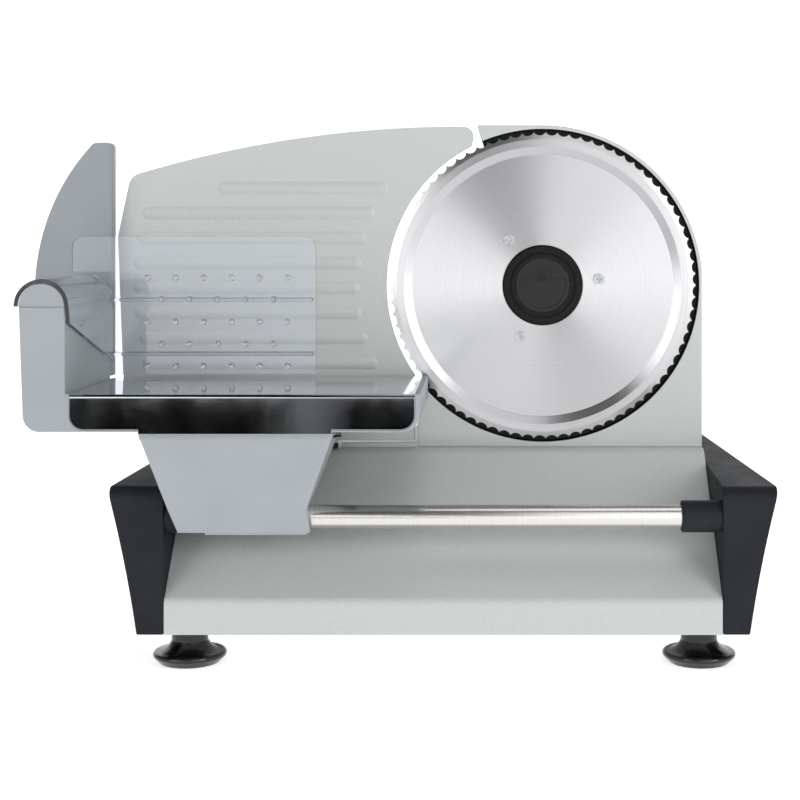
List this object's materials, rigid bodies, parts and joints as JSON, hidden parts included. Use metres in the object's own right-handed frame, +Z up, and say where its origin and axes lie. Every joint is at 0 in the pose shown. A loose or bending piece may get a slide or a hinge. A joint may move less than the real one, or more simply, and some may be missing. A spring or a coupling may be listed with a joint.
{
  "type": "deli meat slicer",
  "caption": "Electric deli slicer with a round serrated blade, sliding carriage on a guide rod, clear pusher, adjustable thickness plate and suction feet.",
  "frame": {"origin": "on the worktop under the middle of the whole machine's bounding box", "axes": "+Z up, -Y towards the operator, +X the way the carriage slides from rest"},
  "size_m": [0.4446, 0.2404, 0.314],
  "materials": {
    "painted_steel": "satin silver paint on pressed steel",
    "abs_black": "fine-grained dark moulded ABS",
    "abs_grey": "satin grey moulded ABS",
    "clear_plastic": "clear moulded plastic with a faint blue edge",
    "brushed_stainless": "turned and brushed stainless steel",
    "polished_stainless": "polished stainless steel",
    "steel": "zinc-plated steel",
    "cast_aluminium": "as cast",
    "rubber": "soft black rubber",
    "acetal": "off-white acetal",
    "bronze": "sintered bronze",
    "ferrite": "sintered ferrite"
  },
  "bodies": {
    "base": {"base_tray": "painted_steel", "bottom_plate": "steel", "right_end_cap": "abs_black", "left_end_cap": "abs_black", "cap_screws": "steel", "foot_front_left": "rubber", "foot_front_right": "rubber", "foot_rear_left": "rubber", "foot_rear_right": "rubber", "foot_screws": "steel", "guide_rod": "polished_stainless", "right_rod_bushing": "abs_black", "left_rod_bushing": "abs_black", "cord_grommet": "rubber", "shelf_screws": "steel", "blade_housing": "painted_steel", "rear_cover": "abs_black", "plate_sill": "painted_steel", "gear_plate": "steel", "gear_plate_screws": "steel", "blade_spindle": "steel", "idler_axle": "steel", "motor_can": "steel", "motor_end_bell": "cast_aluminium", "motor_bushings": "bronze", "motor_magnets": "ferrite", "motor_screws": "steel", "switch_bezel": "abs_black", "thickness_frame": "cast_aluminium", "thickness_cover": "abs_black"},
    "blade": {"blade": "brushed_stainless", "blade_screws": "steel", "blade_hub": "abs_black", "blade_gear": "acetal"},
    "blade_lock": {"blade_lock": "abs_black"},
    "idler": {"idler_gear": "acetal"},
    "rotor": {"motor_shaft": "steel", "motor_pinion": "steel", "motor_rotor": "steel"},
    "carriage": {"carriage_frame": "abs_grey", "platform_sheet": "polished_stainless", "carriage_bracket": "abs_grey", "bracket_screws": "steel", "slide_bushings": "acetal", "rear_shoe": "abs_black", "hand_guard": "abs_grey", "guard_screws": "steel"},
    "pusher": {"pusher": "clear_plastic"},
    "thickness_plate": {"thickness_plate": "painted_steel", "plate_backing": "steel", "plate_guide_pins": "steel", "cam_yoke": "cast_aluminium", "follower_pin": "steel"},
    "thickness_knob": {"thickness_knob": "abs_black", "knob_shaft": "steel", "cam_drum": "acetal"},
    "rocker": {"power_rocker": "abs_black"}
  },
  "joints": [
    {"name": "carriage_slide", "type": "slide", "parent": "base", "child": "carriage", "axis": [1, 0, 0], "range_m": [0, 0.209]},
    {"name": "pusher_slide", "type": "slide", "parent": "carriage", "child": "pusher", "axis": [0, -1, 0], "range_m": [0, 0.1]},
    {"name": "thickness_knob_turn", "type": "hinge", "parent": "base", "child": "thickness_knob", "pos_m": [-0.08975, 0.0978, 0.16], "axis": [0, 1, 0], "range_deg": [0, 300]},
    {"name": "plate_slide", "type": "slide", "parent": "base", "child": "thickness_plate", "axis": [0, 1, 0], "range_m": [0, 0.015]},
    {"name": "blade_spin", "type": "hinge", "parent": "base", "child": "blade", "pos_m": [0.09225, -0.0022, 0.215], "axis": [0, 1, 0], "continuous": true},
    {"name": "idler_spin", "type": "hinge", "parent": "base", "child": "idler", "pos_m": [0.13383, -0.0022, 0.19103], "axis": [0, 1, 0], "continuous": true},
    {"name": "rotor_spin", "type": "hinge", "parent": "base", "child": "rotor", "pos_m": [0.14905, -0.0022, 0.1584], "axis": [0, 1, 0], "continuous": true},
    {"name": "blade_lock_turn", "type": "hinge", "parent": "blade", "child": "blade_lock", "pos_m": [0.09225, -0.0022, 0.215], "axis": [0, 1, 0], "range_deg": [0, 90]},
    {"name": "rocker_tilt", "type": "hinge", "parent": "base", "child": "rocker", "pos_m": [0.14525, 0.1063, 0.236], "axis": [1, 0, 0], "range_deg": [0, 18]}
  ],
  "couplings": [
    {"joint": "thickness_knob_turn", "follows": "plate_slide", "rad_per_m": 349.07},
    {"joint": "idler_spin", "follows": "blade_spin", "ratio": -3.5714},
    {"joint": "rotor_spin", "follows": "blade_spin", "ratio": 17.857}
  ]
}
